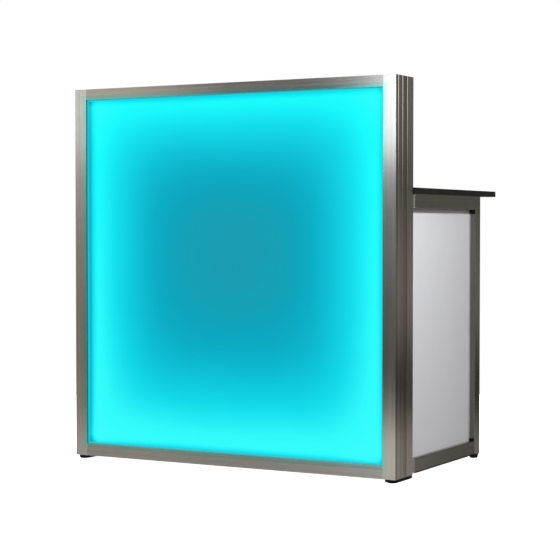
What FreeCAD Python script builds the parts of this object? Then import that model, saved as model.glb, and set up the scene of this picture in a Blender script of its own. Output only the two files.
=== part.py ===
import FreeCAD, Part
import Sketcher
import os
from FreeCAD import Vector, Placement, Rotation

os.makedirs("parts", exist_ok=True)

# DJ booth: a lit front panel in a deep frame, tall posts behind it, two folding
# side wings and a lift-off worktop. Millimetres. Origin on the floor under the
# middle of the whole booth, +Z up, the lit front faces -Y.

doc = FreeCAD.newDocument("dj_booth")

# ---------------------------------------------------------------- dimensions
TABLE = [
    ("total_width", 1210, "width over the posts"),
    ("total_depth", 816, "front face to the rear edge of the worktop"),
    ("metal_height", 1253, "height of the posts"),
    ("disc_height", 2.2, "foot disc below the base shoe"),
    ("plate_thick", 9.8, "base shoes under the posts"),
    ("plate_front", 10, "base shoe set back from the front face"),
    ("plate_round", 12, "front corners of the base shoe"),
    ("wing_low", 15.5, "underside of the wing rails above the floor"),
    ("cap_thick", 5, "base caps of the wing posts"),
    ("cap_in", 1, "the same caps set in from the post's sides"),
    ("prof", 45, "face width of the posts and wing rails"),
    ("rail_top_w", 36.5, "face height of the front top rail"),
    ("rail_bottom_w", 41.5, "face height of the front bottom rail"),
    ("box_depth", 80, "depth of the light box frame"),
    ("frame_gap", 4.5, "gap between light box and tall posts"),
    ("tube_wall", 2.5, "wall of the square tubes"),
    ("post_chamfer", 1.2, "chamfer on the front outer edge of the tall posts"),
    ("chamfer_in", 0.5, "the same chamfer inside the tube"),
    ("rail_nose", 7, "rounding of the front outer edge of the wing rails"),
    ("edge_round", 0.5, "rounding of the long edges"),
    ("groove_w", 4.5, "side grooves, width"),
    ("groove_d", 3.5, "side grooves, depth"),
    ("groove_one", 17.6, "first side groove, centre behind the front face"),
    ("groove_two", 49.1, "second side groove, centre behind the front face"),
    ("lip_y", 1.6, "front lip before the shadow groove"),
    ("lip_w", 4, "shadow groove width"),
    ("gasket_w", 5, "diffuser gasket width"),
    ("gasket_thick", 2.5, "diffuser gasket thickness"),
    ("lip_d", 3, "shadow groove depth"),
    ("sheet_slot", 9, "diffuser slot behind the front face"),
    ("slot_w", 5, "width of the panel slots"),
    ("slot_d", 8.5, "depth of the panel slots"),
    ("sheet_thick", 4, "diffuser and wing panels"),
    ("sheet_in", 8, "how far a sheet reaches into its slot"),
    ("back_slot", 68, "back panel slot behind the front face"),
    ("back_slot_w", 4, "back panel slot width"),
    ("back_thick", 3.5, "back panel"),
    ("core_out", 9, "post core from the outer side"),
    ("core_gap", 11, "frame core from the inner side"),
    ("core_wall", 3, "front and back wall of the light box frame"),
    ("wing_start", 138.5, "front end of the wing behind the front face"),
    ("wing_end", 688, "rear end of the wing behind the front face"),
    ("hinge_y", 134, "hinge line behind the front face"),
    ("hinge_in", 5, "hinge line inside the inner faces"),
    ("top_height", 920, "worktop surface above the floor"),
    ("top_thick", 19, "worktop thickness"),
    ("top_front", 131.5, "worktop front edge behind the tall posts"),
    ("tongue_front", 88, "worktop tongue front edge"),
    ("tongue_clear", 2, "tongue clear of the tall posts"),
    ("edging", 2, "worktop edging thickness"),
    ("top_over", 5, "worktop overhang past the posts on each side"),
    ("rest_gap", 0.4, "wings below the worktop"),
    ("pad_thick", 2, "rubber pads on the ledger"),
    ("pad_rad", 10, "rubber pads on the ledger, radius"),
    ("stile_w", 25, "wing hinge stile, along the wing"),
    ("stile_wall", 2, "wing hinge stile wall"),
    ("foot_rad", 14.5, "foot disc radius"),
    ("foot_round", 0.9, "rounding of the foot disc's lower edge"),
    ("foot_front", 22, "front foot behind the front face"),
    ("foot_in", 19.5, "post feet in from the outer side"),
    ("wing_foot_back", 17, "wing feet in from the rear end"),
    ("wing_foot_in", 14.5, "wing feet in from the outer side"),
    ("wing_foot_rad", 15, "wing foot radius"),
    ("wing_foot_round", 6, "rounding of the wing foot's lower edge"),
    ("stem_rad", 4, "foot stem radius"),
    ("stem_len", 24, "foot stem above the disc"),
    ("stem_play", 0.1, "stem clearance in the base plate"),
    ("knuckle_rad", 5, "hinge barrel radius"),
    ("pin_rad", 3, "hinge pin radius"),
    ("pin_play", 0.05, "hinge pin clearance"),
    ("leaf_len", 80, "hinge length"),
    ("leaf_thick", 3, "hinge leaf thickness"),
    ("leaf_fixed", 40, "fixed leaf width from the hinge line"),
    ("leaf_wing", 28, "wing leaf width from the hinge line"),
    ("knuckle_end", 25, "length of the end knuckles"),
    ("knuckle_gap", 0.4, "end play between knuckles"),
    ("leaf_clear", 6.2, "leaf cut back beside the other leaf's knuckle"),
    ("screw_rad", 2, "screw shank radius"),
    ("screw_head", 3.8, "screw head radius"),
    ("screw_len", 9, "screw length"),
    ("bolt_rad", 4, "frame bolt radius"),
    ("bolt_hole", 4.2, "frame bolt hole radius"),
    ("bolt_head", 7, "frame bolt head radius"),
    ("spacer_rad", 10, "frame spacer radius"),
    ("clip_w", 17, "panel clip width"),
    ("clip_h", 15, "upper panel clip height"),
    ("clip_low", 10, "lower panel clip height"),
    ("clip_y", 6, "panel clip depth"),
    ("case_w", 210, "control box width"),
    ("case_h", 92, "control box height"),
    ("case_x", 120, "control box left side"),
    ("case_z", 590, "control box underside"),
    ("case_back", 122, "control box rear face behind the front face"),
    ("case_wall", 1.6, "control box wall"),
    ("cover_thick", 2, "control box cover"),
    ("vent_w", 3, "vent slots in the cover, width"),
    ("vent_h", 12, "vent slots in the cover, height"),
    ("vent_pitch", 9, "vent slots in the cover, spacing"),
    ("inlet_w", 24, "inlet mouth width"),
    ("inlet_h", 16, "inlet mouth height"),
    ("inlet_wall", 1.4, "inlet wall"),
    ("inlet_deep", 16, "inlet mouth depth"),
    ("rocker_w", 16.2, "rocker width"),
    ("rocker_h", 10.6, "rocker height"),
    ("rocker_tilt", 8, "rocker tilt each way"),
    ("button_rad", 4, "push button radius"),
    ("button_play", 0.3, "push button clearance"),
    ("bracket_leg", 35, "corner bracket leg"),
    ("bracket_w", 30, "corner bracket width"),
    ("bracket_thick", 3, "corner bracket thickness"),
    ("strip_w", 12, "LED strip width"),
    ("strip_thick", 2, "LED strip thickness"),
    ("chip", 5, "LED chip side"),
    ("chip_thick", 1.6, "LED chip thickness"),
    ("chip_pitch", 58, "LED chip pitch"),
    ("lead_rad", 2.5, "LED lead radius"),
]
sheet = doc.addObject("Spreadsheet::Sheet", "Params")
for row, (alias, value, note) in enumerate(TABLE, start=1):
    sheet.set("A%d" % row, note)
    sheet.set("B%d" % row, str(value))
    sheet.setAlias("B%d" % row, alias)
doc.recompute()


class Dim:
    """A size: its number and the sheet expression that gives it."""

    def __init__(self, number, text):
        self.n = float(number)
        self.t = text

    def __add__(self, o):
        o = dim(o)
        return Dim(self.n + o.n, "(%s + %s)" % (self.t, o.t))

    def __sub__(self, o):
        o = dim(o)
        return Dim(self.n - o.n, "(%s - %s)" % (self.t, o.t))

    def __mul__(self, o):
        o = dim(o)
        return Dim(self.n * o.n, "(%s * %s)" % (self.t, o.t))

    def __truediv__(self, o):
        o = dim(o)
        return Dim(self.n / o.n, "(%s / %s)" % (self.t, o.t))

    def __radd__(self, o):
        return dim(o) + self

    def __rsub__(self, o):
        return dim(o) - self

    def __rmul__(self, o):
        return dim(o) * self

    def __neg__(self):
        return Dim(-self.n, "(-1 * %s)" % self.t)


def dim(o):
    return o if isinstance(o, Dim) else Dim(o, repr(float(o)))


class Sizes:
    pass


s = Sizes()
for alias, value, note in TABLE:
    setattr(s, alias, Dim(value, "Params." + alias))

half_w = s.total_width / 2
front_y = -s.total_depth / 2
ground = s.disc_height + s.plate_thick          # underside of the metal
inner = half_w - s.prof                         # inner faces of the posts
tall_front = s.box_depth + s.frame_gap
tall_back = tall_front + s.prof
top_z = ground + s.metal_height
under_top = s.top_height - s.top_thick          # worktop underside
wing_top = under_top - s.rest_gap
ledger_top = under_top - s.pad_thick
hinge_x = inner - s.hinge_in
post_mid = s.prof / 2


def depth(v):
    """Distance behind the front face, as a Y position."""
    return front_y + v


# ---------------------------------------------------------------- helpers
def place(obj, x=0, y=0, z=0):
    for axis, v in (("x", x), ("y", y), ("z", z)):
        obj.setExpression("Placement.Base." + axis, dim(v).t)


def new_body(label):
    body = doc.addObject("PartDesign::Body", label)
    body.Label = label
    return body


def sketch(body, role, loops, circles=(), offset=None, name="Profile"):
    """Closed loops and circles on one of the body's own origin planes."""
    plane = [f for f in body.Origin.OriginFeatures if f.Role == role][0]
    sk = body.newObject("Sketcher::SketchObject", name)
    sk.AttachmentSupport = (plane, [""])
    sk.MapMode = "FlatFace"
    if offset is not None:
        offset = dim(offset)
        sk.AttachmentOffset = Placement(Vector(0, 0, offset.n), Rotation())
        sk.setExpression("AttachmentOffset.Base.z", offset.t)

    def fix(geo, pos, x, y):
        for kind, v, axis in (("DistanceX", x, -2), ("DistanceY", y, -1)):
            if v.t == "0.0":
                sk.addConstraint(Sketcher.Constraint("PointOnObject", geo, pos, axis))
            else:
                i = sk.addConstraint(Sketcher.Constraint(kind, -1, 1, geo, pos, v.n))
                sk.setExpression("Constraints[%d]" % i, v.t)

    for loop in loops:
        pts = [(dim(x), dim(y)) for x, y in loop]
        n = len(pts)
        first = sk.GeometryCount
        sk.addGeometry([Part.LineSegment(Vector(pts[i][0].n, pts[i][1].n, 0),
                                         Vector(pts[(i + 1) % n][0].n, pts[(i + 1) % n][1].n, 0))
                        for i in range(n)], False)
        for i in range(n):
            sk.addConstraint(Sketcher.Constraint("Coincident", first + i, 2, first + (i + 1) % n, 1))
        for i in range(n):
            fix(first + i, 1, *pts[i])
    for x, y, r in circles:
        x, y, r = dim(x), dim(y), dim(r)
        geo = sk.addGeometry(Part.Circle(Vector(x.n, y.n, 0), Vector(0, 0, 1), r.n), False)
        i = sk.addConstraint(Sketcher.Constraint("Radius", geo, r.n))
        sk.setExpression("Constraints[%d]" % i, r.t)
        fix(geo, 3, x, y)
    return sk


def pad(body, sk, length, back=False):
    length = dim(length)
    f = body.newObject("PartDesign::Pad", "Pad")
    f.Profile = sk
    f.Length = length.n
    f.setExpression("Length", length.t)
    f.Reversed = back
    body.Tip = f
    doc.recompute()
    return f


def pocket(body, sk, length, back=False):
    before = body.Shape.Volume
    length = dim(length)
    f = body.newObject("PartDesign::Pocket", "Pocket")
    f.Profile = sk
    f.Length = length.n
    f.setExpression("Length", length.t)
    f.Reversed = back
    body.Tip = f
    doc.recompute()
    if not body.Shape.Volume < before - 1e-3:
        raise RuntimeError("a pocket in %s cuts nothing" % body.Label)
    return f


def round_edges(body, wanted, radius, kind="Fillet"):
    """Round (or chamfer) the edges for which wanted(edge) is true."""
    radius = dim(radius)
    tip = body.Tip
    names = ["Edge%d" % (i + 1) for i, e in enumerate(tip.Shape.Edges) if wanted(e)]
    if not names:
        raise RuntimeError("no edges to round on " + body.Label)
    f = body.newObject("PartDesign::" + kind, kind)
    f.Base = (tip, names)
    prop = "Radius" if kind == "Fillet" else "Size"
    setattr(f, prop, radius.n)
    f.setExpression(prop, radius.t)
    body.Tip = f
    doc.recompute()
    return f


def along(e, axis):
    if e.Curve.TypeId != "Part::GeomLine":
        return False
    d = e.Vertexes[-1].Point - e.Vertexes[0].Point
    return d.Length > 1 and abs(abs(d[axis]) - d.Length) < 1e-6


def at(e, axis, v):
    return all(abs(p.Point[axis] - v) < 1e-5 for p in e.Vertexes)


def rect(x0, y0, x1, y1):
    return [(x0, y0), (x1, y0), (x1, y1), (x0, y1)]


def box(label, x0, y0, z0, x1, y1, z1):
    b = doc.addObject("Part::Box", label)
    b.Label = label
    for prop, v in (("Length", dim(x1) - x0), ("Width", dim(y1) - y0), ("Height", dim(z1) - z0)):
        setattr(b, prop, v.n)
        b.setExpression(prop, v.t)
    place(b, x0, y0, z0)
    return b


def cyl(label, r, length, x=0, y=0, z=0, axis="z"):
    c = doc.addObject("Part::Cylinder", label)
    c.Label = label
    r, length = dim(r), dim(length)
    c.Radius = r.n
    c.setExpression("Radius", r.t)
    c.Height = length.n
    c.setExpression("Height", length.t)
    turn = {"z": Rotation(), "x": Rotation(Vector(0, 1, 0), 90), "y": Rotation(Vector(1, 0, 0), -90)}[axis]
    c.Placement = Placement(Vector(0, 0, 0), turn)
    place(c, x, y, z)
    return c


def fuse(label, shapes):
    f = doc.addObject("Part::MultiFuse", label)
    f.Label = label
    f.Shapes = shapes
    return f


def cut(label, base, tool):
    c = doc.addObject("Part::Cut", label)
    c.Label = label
    c.Base = base
    c.Tool = tool
    return c


def compound(label, links):
    c = doc.addObject("Part::Compound", label)
    c.Label = label
    c.Links = links
    return c


def group(label, master, places):
    """Copies of one master piece, as separate solids of one node."""
    doc.recompute()
    shapes = []
    for p in places:
        shp = master.Shape.copy()
        shp.Placement = p.multiply(master.Placement)
        shapes.append(shp)
    g = doc.addObject("Part::Feature", label)
    g.Label = label
    g.Shape = Part.makeCompound(shapes)
    return g


def here(x, y, z, turn=None):
    return Placement(Vector(dim(x).n, dim(y).n, dim(z).n), turn or Rotation())


NODES = []


def node(obj):
    NODES.append(obj)
    return obj


SIDES = (("left", -1), ("right", 1))


# ---------------------------------------------------------------- light box frame
def frame_section(sign, swap, width):
    """Light box profile: u runs inward from the outer side, v runs back from the front face.

    Each groove on the outer side has a square front wall and a rear wall that slopes out to the face.
    """
    g1a, g1b = s.groove_one - s.groove_w / 2, s.groove_one + s.groove_w / 2
    g2a, g2b = s.groove_two - s.groove_w / 2, s.groove_two + s.groove_w / 2
    lip_b = s.lip_y + s.lip_w
    uv = [(0, 0), (width, 0), (width, s.lip_y), (width - s.lip_d, s.lip_y), (width - s.lip_d, lip_b),
          (width, lip_b), (width, s.sheet_slot), (width - s.slot_d, s.sheet_slot),
          (width - s.slot_d, s.sheet_slot + s.slot_w), (width, s.sheet_slot + s.slot_w),
          (width, s.back_slot), (width - s.slot_d, s.back_slot),
          (width - s.slot_d, s.back_slot + s.back_slot_w), (width, s.back_slot + s.back_slot_w),
          (width, s.box_depth), (0, s.box_depth), (0, g2b), (s.groove_d, g2b - s.groove_d), (s.groove_d, g2a), (0, g2a),
          (0, g1b), (s.groove_d, g1b - s.groove_d), (s.groove_d, g1a), (0, g1a)]
    core = rect(s.core_out, s.core_wall, width - s.core_gap, s.box_depth - s.core_wall)
    out = []
    for loop in (uv, core):
        pts = [(dim(u) if sign > 0 or dim(u).t == "0.0" else -dim(u), dim(v)) for u, v in loop]
        out.append([(v, u) for u, v in pts] if swap else pts)
    return out


bolt_z = [s.metal_height * k for k in (0.15, 0.5, 0.85)]

for side, sg in SIDES:
    # front post: full height, two grooves down its outer side
    b = new_body("front_post_" + side)
    pad(b, sketch(b, "XY_Plane", frame_section(-sg, False, s.prof)), s.metal_height)
    ends = [(0, 0), (-sg * s.prof.n, 0), (0, s.box_depth.n), (-sg * s.prof.n, s.box_depth.n)]
    round_edges(b, lambda e: along(e, 2) and any(at(e, 0, x) and at(e, 1, y) for x, y in ends), s.edge_round)
    sk = sketch(b, "XZ_Plane", [], [(-sg * post_mid, z, s.bolt_hole) for z in bolt_z],
                offset=-(s.box_depth - s.core_wall - 1), name="BoltHoles")
    pocket(b, sk, s.core_wall + 4)
    place(b, sg * half_w, front_y, ground)
    node(b)

rail_len = inner * 2
for end, sg, tall in (("top", -1, s.rail_top_w), ("bottom", 1, s.rail_bottom_w)):
    # rails between the posts, same profile with its outer side up or down
    b = new_body("front_rail_" + end)
    pad(b, sketch(b, "YZ_Plane", frame_section(sg, True, tall)), rail_len)
    ends = [(0, 0), (0, sg * tall.n), (s.box_depth.n, 0), (s.box_depth.n, sg * tall.n)]
    round_edges(b, lambda e: along(e, 0) and any(at(e, 1, y) and at(e, 2, z) for y, z in ends), s.edge_round)
    place(b, -inner, front_y, top_z if sg < 0 else ground)
    node(b)

# opal sheet in the front slots, white sheet in the back slots
sheet_half = inner + s.sheet_in
sheet_z0 = ground + s.rail_bottom_w - s.sheet_in
sheet_z1 = top_z - s.rail_top_w + s.sheet_in
sheet_y = depth(s.sheet_slot + (s.slot_w - s.sheet_thick) / 2)
for label, y0, thick in (("front_diffuser", sheet_y, s.sheet_thick),
                         ("light_box_back_panel", depth(s.back_slot + (s.back_slot_w - s.back_thick) / 2), s.back_thick)):
    b = new_body(label)
    pad(b, sketch(b, "XZ_Plane", [rect(-sheet_half, 0, sheet_half, sheet_z1 - sheet_z0)]), thick, back=True)
    place(b, 0, y0, sheet_z0)
    node(b)

# gasket strips that close the step between the frame and the sheet
gk = s.gasket_w
gy0, gy1 = sheet_y - s.gasket_thick, sheet_y
gz0, gz1 = ground + s.rail_bottom_w, top_z - s.rail_top_w
node(compound("diffuser_gasket", [
    box("gasket_left", -inner, gy0, gz0, -inner + gk, gy1, gz1),
    box("gasket_right", inner - gk, gy0, gz0, inner, gy1, gz1),
    box("gasket_bottom", -inner + gk, gy0, gz0, inner - gk, gy1, gz0 + gk),
    box("gasket_top", -inner + gk, gy0, gz1 - gk, inner - gk, gy1, gz1)]))

# LED strips on the four inner walls, and their chips
sy0 = depth(s.box_depth / 2 - 6)
sy1 = sy0 + s.strip_w
node(compound("led_strips", [
    box("strip_left", -inner, sy0, gz0 + 5, -inner + s.strip_thick, sy1, gz1 - 5),
    box("strip_right", inner - s.strip_thick, sy0, gz0 + 5, inner, sy1, gz1 - 5),
    box("strip_bottom", -inner + 5, sy0, gz0, inner - 5, sy1, gz0 + s.strip_thick),
    box("strip_top", -inner + 5, sy0, gz1 - s.strip_thick, inner - 5, sy1, gz1)]))
chip = box("chip_master", -s.chip / 2, -s.chip / 2, 0, s.chip / 2, s.chip / 2, s.chip_thick)
mid_y = (sy0 + sy1) / 2
spots = []
n_v = int((gz1.n - gz0.n - 40) // s.chip_pitch.n)
n_h = int((2 * inner.n - 40) // s.chip_pitch.n)
mid_z = (gz0 + gz1) / 2
for i in range(n_v + 1):
    z = mid_z + s.chip_pitch * (i - n_v / 2)
    spots.append(here(-inner + s.strip_thick, mid_y, z, Rotation(Vector(0, 1, 0), 90)))
    spots.append(here(inner - s.strip_thick, mid_y, z, Rotation(Vector(0, 1, 0), -90)))
for i in range(n_h + 1):
    x = s.chip_pitch * (i - n_h / 2)
    spots.append(here(x, mid_y, gz0 + s.strip_thick))
    spots.append(here(x, mid_y, gz1 - s.strip_thick, Rotation(Vector(1, 0, 0), 180)))
doc.recompute()
node(group("led_chips", chip, spots))

# ---------------------------------------------------------------- tall posts and rear rails
for side, sg in SIDES:
    b = new_body("tall_post_" + side)
    w = s.tube_wall
    k = -sg
    ch, ci = s.post_chamfer, s.chamfer_in
    tube = [(k * ch, 0), (k * s.prof, 0), (k * s.prof, s.prof), (0, s.prof), (0, ch)]
    bore = [(k * (w + ci), w), (k * (s.prof - w), w), (k * (s.prof - w), s.prof - w), (k * w, s.prof - w), (k * w, w + ci)]
    pad(b, sketch(b, "XY_Plane", [tube, bore]), s.metal_height)
    ends = [(k * s.prof.n, 0), (k * s.prof.n, s.prof.n), (0, s.prof.n)]
    round_edges(b, lambda e: along(e, 2) and any(at(e, 0, x) and at(e, 1, y) for x, y in ends), s.edge_round)
    sk = sketch(b, "XZ_Plane", [], [(-sg * post_mid, z, s.bolt_hole) for z in bolt_z], offset=1, name="BoltHoles")
    pocket(b, sk, s.prof + 2)
    place(b, sg * half_w, depth(tall_front), ground)
    node(b)

for label, z0 in (("ledger_rail", ledger_top - s.prof), ("rear_bottom_rail", ground)):
    b = new_body(label)
    w = s.tube_wall
    pad(b, sketch(b, "YZ_Plane", [rect(0, 0, s.prof, s.prof), rect(w, w, s.prof - w, s.prof - w)]), rail_len)
    ends = [(y, z) for y in (0, s.prof.n) for z in (0, s.prof.n)]
    round_edges(b, lambda e: along(e, 0) and any(at(e, 1, y) and at(e, 2, z) for y, z in ends), s.edge_round)
    if label == "ledger_rail":
        # holes in the top wall for the worktop's dowels
        sk = sketch(b, "XY_Plane", [], [(inner - 400, post_mid, 5.3), (inner + 400, post_mid, 5.3)],
                    offset=s.prof + 1, name="DowelHoles")
        pocket(b, sk, w + 2)
    place(b, -inner, depth(tall_front), z0)
    node(b)

# spacers and bolts between light box and tall posts
ring = cut("spacer_master", cyl("spacer_out", s.spacer_rad, s.frame_gap, axis="y"),
           cyl("spacer_in", s.bolt_hole, s.frame_gap + 2, y=-1, axis="y"))
doc.recompute()
bolt_at = [(sg * (half_w - post_mid), ground + z) for side, sg in SIDES for z in bolt_z]
node(group("frame_spacers", ring, [here(x, depth(s.box_depth), z) for x, z in bolt_at]))
b = new_body("bolt_master")
shank = s.prof + s.frame_gap + 8
sk = sketch(b, "XY_Plane", [[(0, 0), (s.bolt_rad, 0), (s.bolt_rad, shank), (s.bolt_head, shank),
                             (s.bolt_head - 0.6, shank + 2), (s.bolt_head - 3, shank + 3), (0, shank + 3)]])
f = b.newObject("PartDesign::Revolution", "Turned")
f.Profile = sk
f.ReferenceAxis = (sk, ["V_Axis"])
f.Angle = 360
b.Tip = f
doc.recompute()
node(group("frame_bolts", b, [here(x, depth(tall_back) - shank, z) for x, z in bolt_at]))

# corner brackets under the ledger and above the bottom rail
b = new_body("bracket_master")
leg, th = s.bracket_leg, s.bracket_thick
pad(b, sketch(b, "XZ_Plane", [[(0, 0), (-leg, 0), (-leg, -th), (-th, -th), (-th, -leg), (0, -leg)]]), s.bracket_w, back=True)
by = depth(tall_front) + (s.prof - s.bracket_w) / 2
flip_x = Rotation(Vector(0, 0, 1), 180)
flip_z = Rotation(Vector(0, 1, 0), 90)
led_z, bot_z = ledger_top - s.prof, ground + s.prof
node(group("corner_brackets", b, [
    here(inner, by, led_z),
    here(-inner, by, led_z, Rotation(Vector(0, 1, 0), -90)),
    here(inner, by, bot_z, Rotation(Vector(0, 1, 0), 90)),
    here(-inner, by, bot_z, Rotation(Vector(0, 1, 0), 180))]))

# plugs in the open tops of the posts
pc = Dim(0.2, "0.2")
plugs = []
for side, sg in SIDES:
    a, c = (sg * (inner + s.core_gap + pc), sg * (half_w - s.core_out - pc))
    x0, x1 = (a, c) if sg > 0 else (c, a)
    plugs.append(box("plug_front_" + side, x0, depth(s.core_wall + pc), top_z - 12, x1,
                     depth(s.box_depth - s.core_wall - pc), top_z - 0.6))
    b = new_body("plug_tall_" + side)
    k, g, ci = -sg, s.tube_wall + pc, s.chamfer_in
    pad(b, sketch(b, "XY_Plane", [[(k * (g + ci), g), (k * (s.prof - g), g), (k * (s.prof - g), s.prof - g),
                                   (k * g, s.prof - g), (k * g, g + ci)]]), 11.4)
    place(b, sg * half_w, depth(tall_front), top_z - 12)
    plugs.append(b)
node(compound("post_top_plugs", plugs))

# base shoes under each pair of posts, rounded at the front, with holes for the feet
foot_front, foot_tall = s.foot_front, tall_front + s.prof / 2
plates = []
for side, sg in SIDES:
    b = new_body("base_plate_" + side)
    e = 0.5
    hole = s.stem_rad + s.stem_play
    off = sg * (post_mid - s.foot_in)
    pad(b, sketch(b, "XY_Plane", [rect(e - s.prof / 2, s.plate_front, s.prof / 2 - e, tall_back - e)],
                  [(off, foot_front, hole), (off, foot_tall, hole)]), s.plate_thick)
    round_edges(b, lambda ed: along(ed, 2) and at(ed, 1, s.plate_front.n), s.plate_round)
    round_edges(b, lambda ed: along(ed, 2) and at(ed, 1, tall_back.n - e), 3)
    round_edges(b, lambda ed: at(ed, 2, 0) and not (ed.Curve.TypeId == "Part::GeomCircle" and abs(ed.Curve.Radius - hole.n) < 1e-5), 0.4)
    place(b, sg * (half_w - post_mid), front_y, s.disc_height)
    plates.append(b)
node(compound("base_plates", plates))

# rubber pads that the worktop rests on
pad_master = cyl("pad_master", s.pad_rad, s.pad_thick)
doc.recompute()
node(group("worktop_pads", pad_master, [here(x, depth(tall_front + post_mid), ledger_top) for x in (-480, -150, 150, 480)]))

# ---------------------------------------------------------------- hinges
hz = [ground + s.prof + k for k in (60, 350, 640)]      # undersides of the three hinges on a side
K, G, L = s.knuckle_end, s.knuckle_gap, s.leaf_len


def leaf(label, width, direction, ends):
    """One hinge leaf about an axis at the origin: plate along direction, knuckles at the ends or in the middle."""
    plate_x = s.hinge_in - s.leaf_thick
    y0, y1 = (-width, dim(0)) if direction < 0 else (dim(0), width)
    plate = box(label + "_plate", plate_x, y0, 0, s.hinge_in, y1, L)
    if ends:
        barrels = [cyl(label + "_k1", s.knuckle_rad, K), cyl(label + "_k2", s.knuckle_rad, K, z=L - K)]
        tools = [box(label + "_gap", -10, -s.leaf_clear, K, 10, 10, L - K)]
    else:
        barrels = [cyl(label + "_k1", s.knuckle_rad, L - 2 * K - 2 * G, z=K + G)]
        tools = [box(label + "_g1", -10, -10, -1, 10, s.leaf_clear, K + G), box(label + "_g2", -10, -10, L - K - G, 10, s.leaf_clear, L + 1)]
    tools.append(cyl(label + "_bore", s.pin_rad + s.pin_play, L + 2, z=-1))
    for i, (k, zz) in enumerate(((0.45, 12), (0.8, 40), (0.45, 68))):
        tools.append(cyl(label + "_h%d" % i, s.screw_rad + 0.3, s.leaf_thick + 4, x=plate_x - 2,
                         y=(-width * k if direction < 0 else width * k + 1), z=zz, axis="x"))
    out = cut(label, fuse(label + "_body", [plate] + barrels), fuse(label + "_tools", tools))
    doc.recompute()
    return out


fixed_master = leaf("fixed_leaf_master", s.leaf_fixed, -1, True)
wing_master = leaf("wing_leaf_master", s.leaf_wing, 1, False)
pin_master = fuse("pin_master", [cyl("pin_shank", s.pin_rad, L + 1, z=-1), cyl("pin_head", s.knuckle_rad - 0.4, 2, z=L)])
turn_over = Rotation(Vector(0, 1, 0), 180)


def hinge_places(sg):
    if sg > 0:
        return [here(hinge_x, depth(s.hinge_y), z) for z in hz]
    return [here(-hinge_x, depth(s.hinge_y), z + L, turn_over) for z in hz]


node(group("hinge_leaves_fixed", fixed_master, hinge_places(1) + hinge_places(-1)))
node(group("hinge_pins", pin_master, [here(sg * hinge_x, depth(s.hinge_y), z) for side, sg in SIDES for z in hz]))

# screw: domed head with a driver socket, straight shank
b = new_body("screw_master")
sk = sketch(b, "XY_Plane", [[(0, 0), (s.screw_rad, 0), (s.screw_rad, s.screw_len), (s.screw_head, s.screw_len),
                             (s.screw_head - 0.3, s.screw_len + 1), (s.screw_head - 1.2, s.screw_len + 1.7),
                             (s.screw_head - 2.2, s.screw_len + 1.9), (1.2, s.screw_len + 1.9), (1.2, s.screw_len + 0.7), (0, s.screw_len + 0.7)]])
f = b.newObject("PartDesign::Revolution", "Turned")
f.Profile = sk
f.ReferenceAxis = (sk, ["V_Axis"])
f.Angle = 360
b.Tip = f
doc.recompute()
screw = b
# the screw's own axis is +Y with the head at its far end
to_minus_x = Rotation(Vector(0, 0, 1), 90)
to_plus_x = Rotation(Vector(0, 0, 1), -90)
leaf_face = hinge_x + s.hinge_in - s.leaf_thick


def leaf_screws(sg, width, direction):
    out = []
    for z in hz:
        for k, zz in ((0.45, 12), (0.8, 40), (0.45, 68)):
            y = depth(s.hinge_y) + (-width * k if direction < 0 else width * k + 1)
            if sg > 0:
                out.append(here(leaf_face + s.screw_len, y, z + zz, to_minus_x))
            else:
                out.append(here(-leaf_face - s.screw_len, y, z + zz, to_plus_x))
    return out


bracket_screws = []
byc = by + s.bracket_w / 2
for sg in (-1, 1):
    turn = to_minus_x if sg > 0 else to_plus_x
    xf = sg * (inner - th + s.screw_len)
    bracket_screws.append(here(xf, byc, led_z - 22, turn))
    bracket_screws.append(here(xf, byc, bot_z + 22, turn))
    bracket_screws.append(here(sg * (inner - 22), byc, led_z - th + s.screw_len, Rotation(Vector(1, 0, 0), -90)))
    bracket_screws.append(here(sg * (inner - 22), byc, bot_z + th - s.screw_len, Rotation(Vector(1, 0, 0), 90)))
cover_y = depth(s.case_back + s.cover_thick)
cx0, cx1 = s.case_x, s.case_x + s.case_w
cz0, cz1 = s.case_z, s.case_z + s.case_h
cover_screws = [here(x, cover_y - s.screw_len, z) for x in (cx0 + 7, cx1 - 7) for z in (cz0 + 7, cz1 - 7)]
node(group("frame_screws", screw, leaf_screws(1, s.leaf_fixed, -1) + leaf_screws(-1, s.leaf_fixed, -1) + bracket_screws + cover_screws))

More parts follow.
